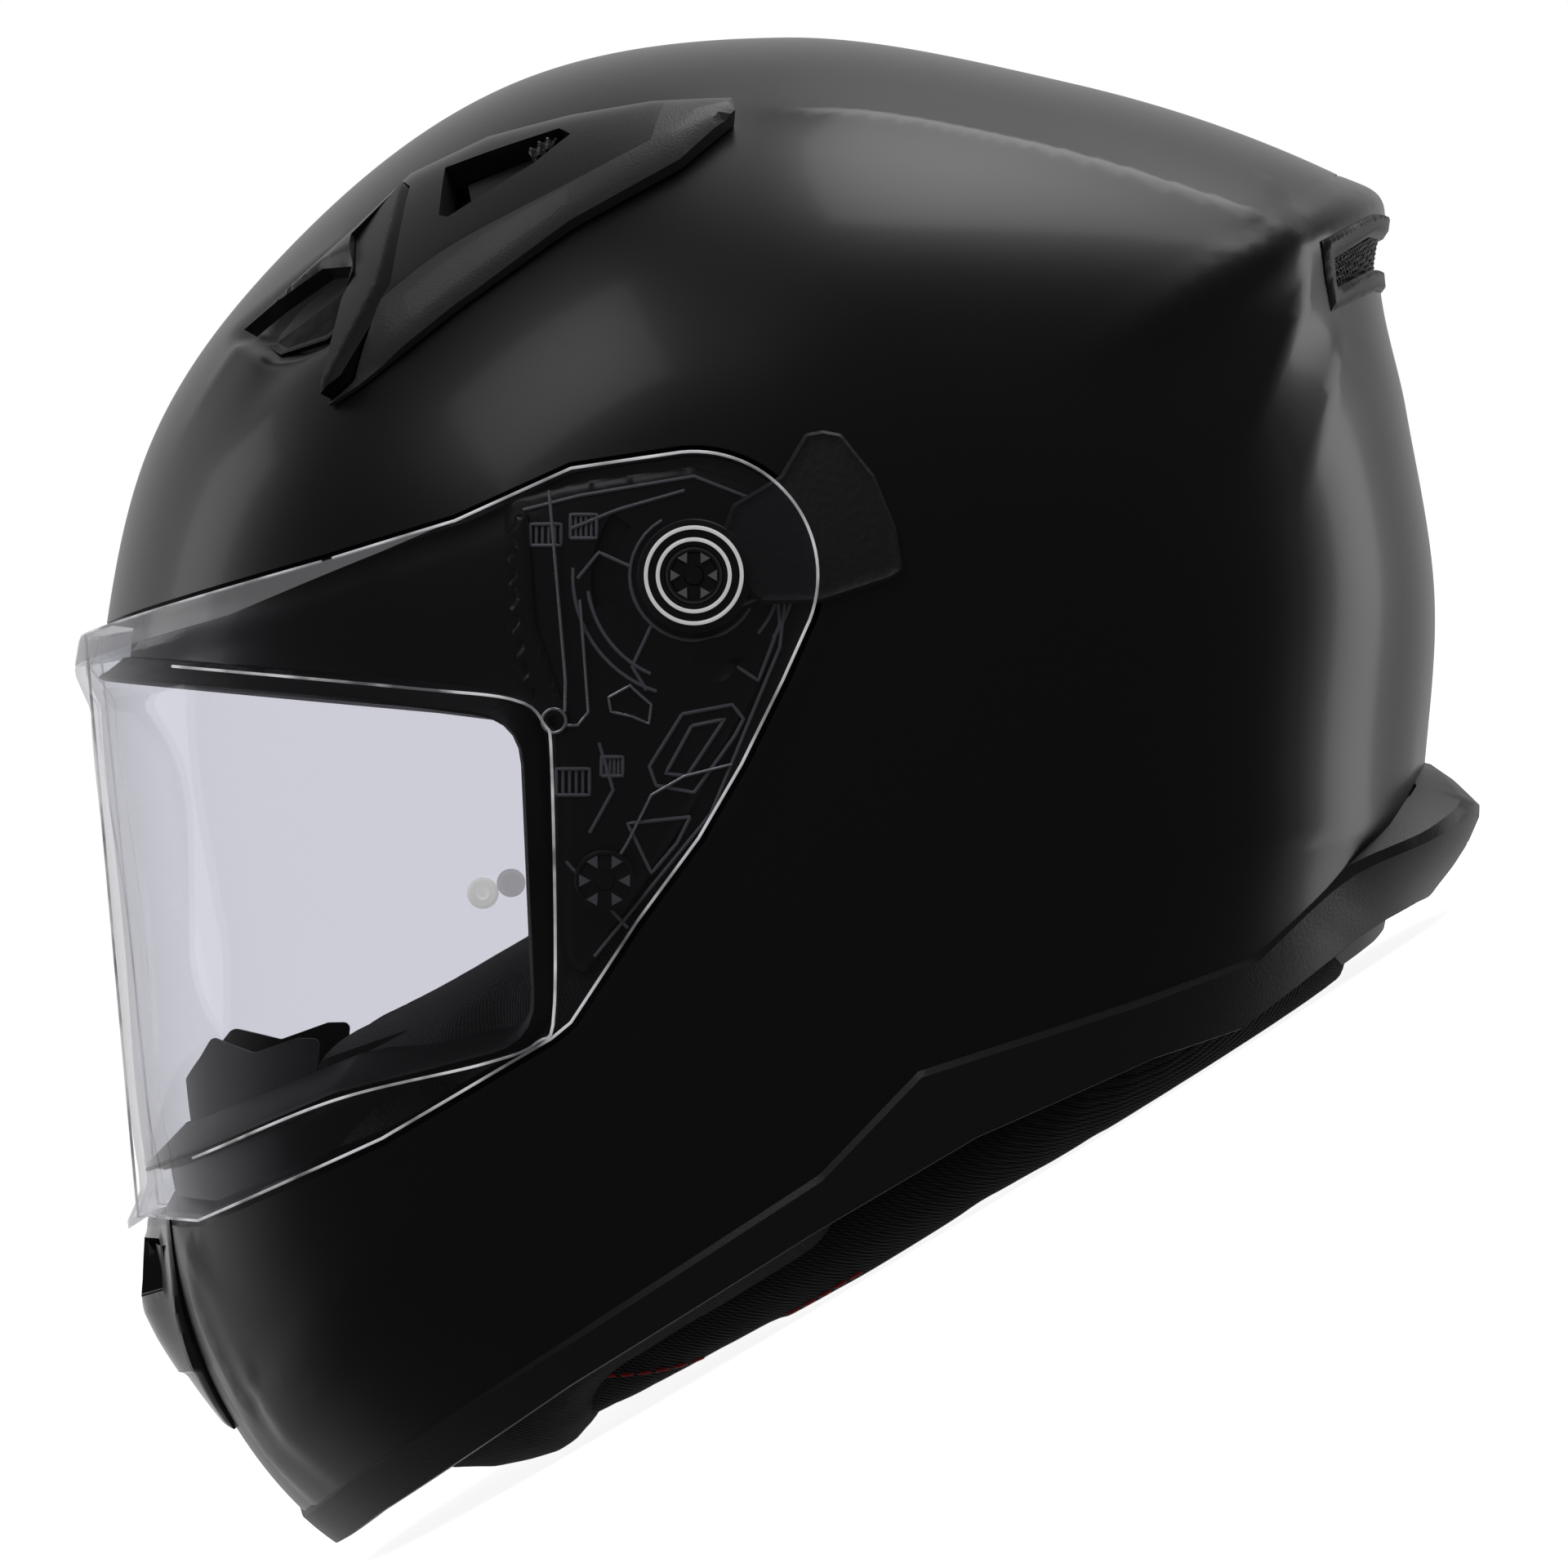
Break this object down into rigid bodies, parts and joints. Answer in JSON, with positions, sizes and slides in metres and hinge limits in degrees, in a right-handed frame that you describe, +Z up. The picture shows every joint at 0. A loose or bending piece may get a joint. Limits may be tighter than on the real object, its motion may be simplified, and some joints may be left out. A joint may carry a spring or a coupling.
{
  "type": "motorcycle helmet",
  "caption": "Full-face motorcycle helmet with a clear flip-up visor, drop-down sun shield, sliding vents, padded lining and a ratchet chin strap.",
  "frame": {"origin": "middle of the footprint, on the surface the helmet stands on, leaning back on its rim", "axes": "+Z up, the rider's face looks towards -Y and, as the helmet stands, somewhat upwards, +X is the rider's left"},
  "size_m": [0.2578, 0.3597, 0.2628],
  "materials": {
    "shell_black": "satin",
    "satin_trim": "satin",
    "vent_satin": "satin",
    "gloss_black": "gloss",
    "clear_lens": "polished",
    "smoke_lens": "polished",
    "mechanism_black": "satin",
    "clear_hub": "polished",
    "foam_black": "matte",
    "knit_lining": "matte",
    "collar_fabric": "matte",
    "strap_webbing": "matte",
    "soft_rubber": "matte",
    "steel": "satin",
    "buckle_red": "gloss",
    "mesh_steel": "satin"
  },
  "bodies": {
    "helmet": {"outer_shell": "shell_black", "eps_liner": "foam_black", "chin_bar_liner": "foam_black", "crown_liner": "knit_lining", "cheek_pad_left": "knit_lining", "cheek_pad_right": "knit_lining", "neck_roll": "collar_fabric", "base_trim": "satin_trim", "rear_neck_cover": "satin_trim", "eyeport_gasket": "soft_rubber", "base_plate_screws": "mechanism_black", "chin_vent_housing": "gloss_black", "rear_vent_frame": "satin_trim", "rear_vent_mesh": "mesh_steel", "breath_guard": "soft_rubber", "chin_air_grille": "mechanism_black", "chin_strap_left": "strap_webbing", "chin_strap_right": "strap_webbing", "strap_rivets": "steel", "strap_sleeve": "knit_lining", "buckle_body": "steel", "buckle_tongue": "mechanism_black", "visor_base_plate_left": "mechanism_black", "torsion_spring_left": "steel", "top_vent_cover_left": "vent_satin", "top_vent_insert_left": "gloss_black", "visor_base_plate_right": "mechanism_black", "torsion_spring_right": "steel", "top_vent_cover_right": "vent_satin", "top_vent_insert_right": "gloss_black"},
    "visor": {"visor_lens": "clear_lens", "pinlock_pins": "clear_hub", "visor_hub_rings": "clear_hub"},
    "sun_visor": {"sun_shield": "smoke_lens", "sun_shield_lever": "satin_trim"},
    "left_top_vent_slider": {"top_vent_slider_left": "gloss_black"},
    "right_top_vent_slider": {"top_vent_slider_right": "gloss_black"},
    "chin_shutter": {"chin_vent_shutter": "mechanism_black"},
    "buckle_lever": {"buckle_lever": "buckle_red"},
    "left_detent_arm": {"detent_arm_left": "mechanism_black"},
    "right_detent_arm": {"detent_arm_right": "mechanism_black"}
  },
  "joints": [
    {"name": "visor_hinge", "type": "hinge", "parent": "helmet", "child": "visor", "pos_m": [0, 0.00504, 0.1458], "axis": [-1, 0, 0], "range_deg": [0, 52]},
    {"name": "sun_shield_hinge", "type": "hinge", "parent": "helmet", "child": "sun_visor", "pos_m": [0, 0.00504, 0.1458], "axis": [-1, 0, 0], "range_deg": [-36, 0]},
    {"name": "left_top_vent_slide", "type": "slide", "parent": "helmet", "child": "left_top_vent_slider", "axis": [0, -0.997, 0.0773], "range_m": [0, 0.009]},
    {"name": "right_top_vent_slide", "type": "slide", "parent": "helmet", "child": "right_top_vent_slider", "axis": [0, -0.997, 0.0773], "range_m": [0, 0.009]},
    {"name": "chin_vent_slide", "type": "slide", "parent": "helmet", "child": "chin_shutter", "axis": [0, -0.2351, -0.972], "range_m": [0, 0.0055]},
    {"name": "buckle_lever_hinge", "type": "hinge", "parent": "helmet", "child": "buckle_lever", "pos_m": [0.025, -0.08999, 0.01483], "axis": [0, -0.8572, 0.515], "range_deg": [0, 38], "stiffness_Nm_per_rad": 0.02, "springref_deg": -17.19},
    {"name": "left_detent_hinge", "type": "hinge", "parent": "helmet", "child": "left_detent_arm", "pos_m": [0.118, -0.03582, 0.13488], "axis": [-1, 0, 0], "range_deg": [0, 2.5], "stiffness_Nm_per_rad": 0.2, "springref_deg": -5.73},
    {"name": "right_detent_hinge", "type": "hinge", "parent": "helmet", "child": "right_detent_arm", "pos_m": [-0.118, -0.03582, 0.13488], "axis": [-1, 0, 0], "range_deg": [0, 2.5], "stiffness_Nm_per_rad": 0.2, "springref_deg": -5.73}
  ]
}
